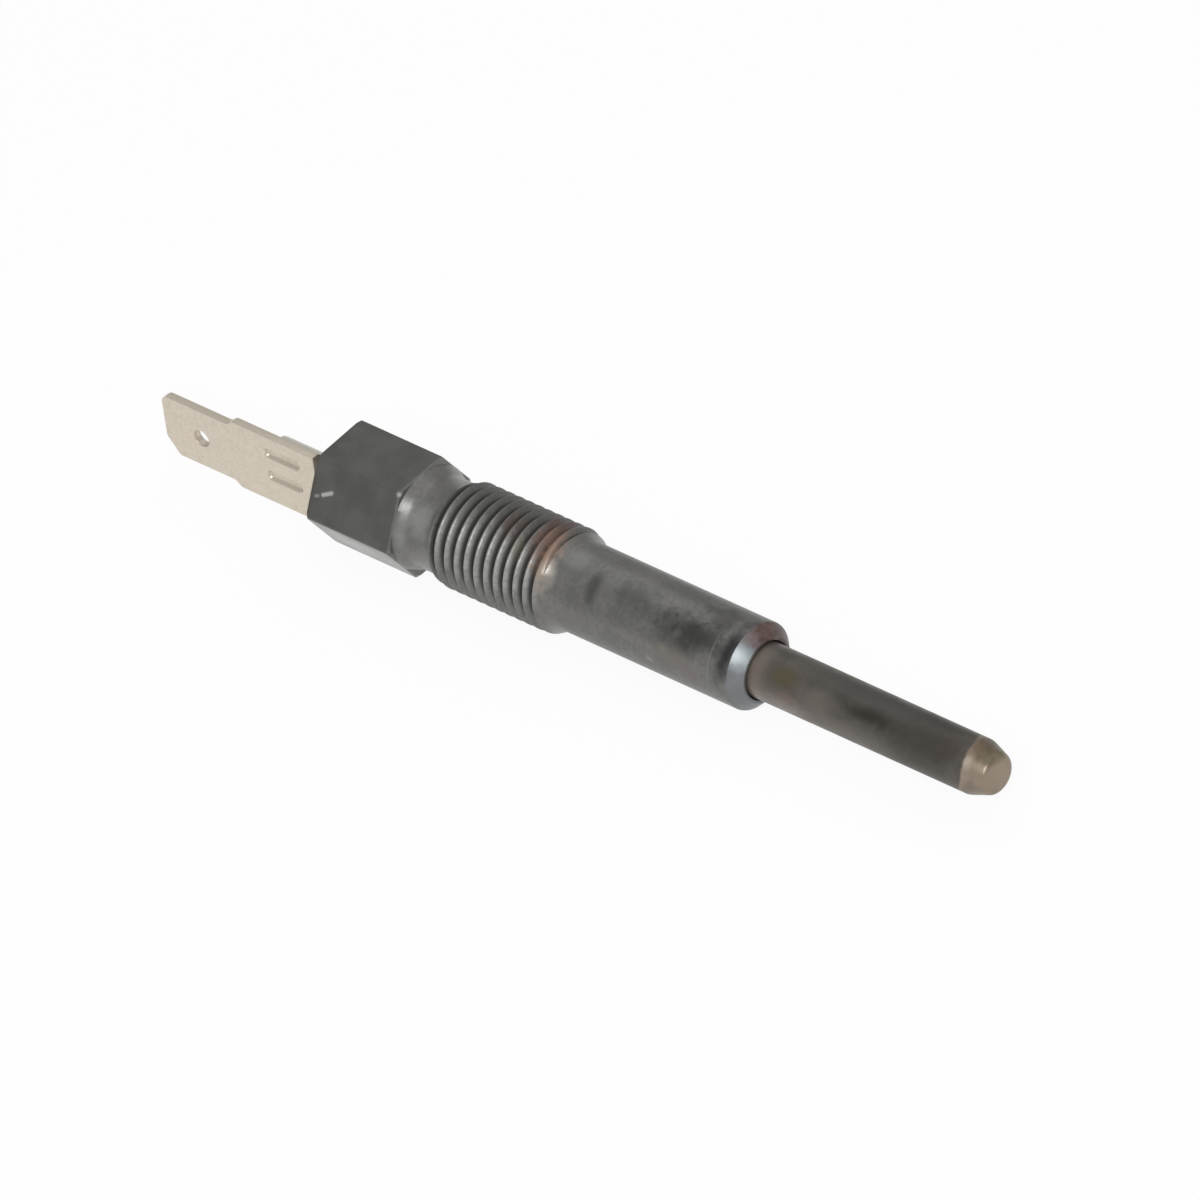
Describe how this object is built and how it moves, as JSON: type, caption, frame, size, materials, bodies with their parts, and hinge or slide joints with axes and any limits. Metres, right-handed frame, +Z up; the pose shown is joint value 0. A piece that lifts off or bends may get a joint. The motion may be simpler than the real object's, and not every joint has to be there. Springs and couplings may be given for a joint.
{
  "type": "diesel glow plug",
  "caption": "Sheathed pencil glow plug: dark steel shell with hexagon, M10 thread and cone seat, long slim heating tube with a tapered nose, and a flat push-on blade.",
  "frame": {"origin": "on the plug's axis, at the wide edge of the cone seat that seals in the cylinder head", "axes": "+X along the axis towards the heating tube's nose, +Z up with a hexagon flat facing down, the blade's open face towards -Y"},
  "size_m": [0.0974, 0.0116, 0.01],
  "materials": {
    "oxide_steel": "satin",
    "sheath_alloy": "satin",
    "magnesia": "matte",
    "heater_wire": "satin",
    "control_wire": "satin",
    "pin_steel": "satin",
    "seal_rubber": "matte",
    "bush_moulding": "matte",
    "plated_brass": "satin"
  },
  "bodies": {
    "root": {"plug_body": "oxide_steel", "glow_tube": "sheath_alloy", "magnesia_fill": "magnesia", "heater_coil": "heater_wire", "control_coil": "control_wire", "terminal_pin": "pin_steel", "tube_seal": "seal_rubber", "o_ring": "seal_rubber", "insulator_bush": "bush_moulding", "blade_terminal": "plated_brass"}
  },
  "joints": []
}
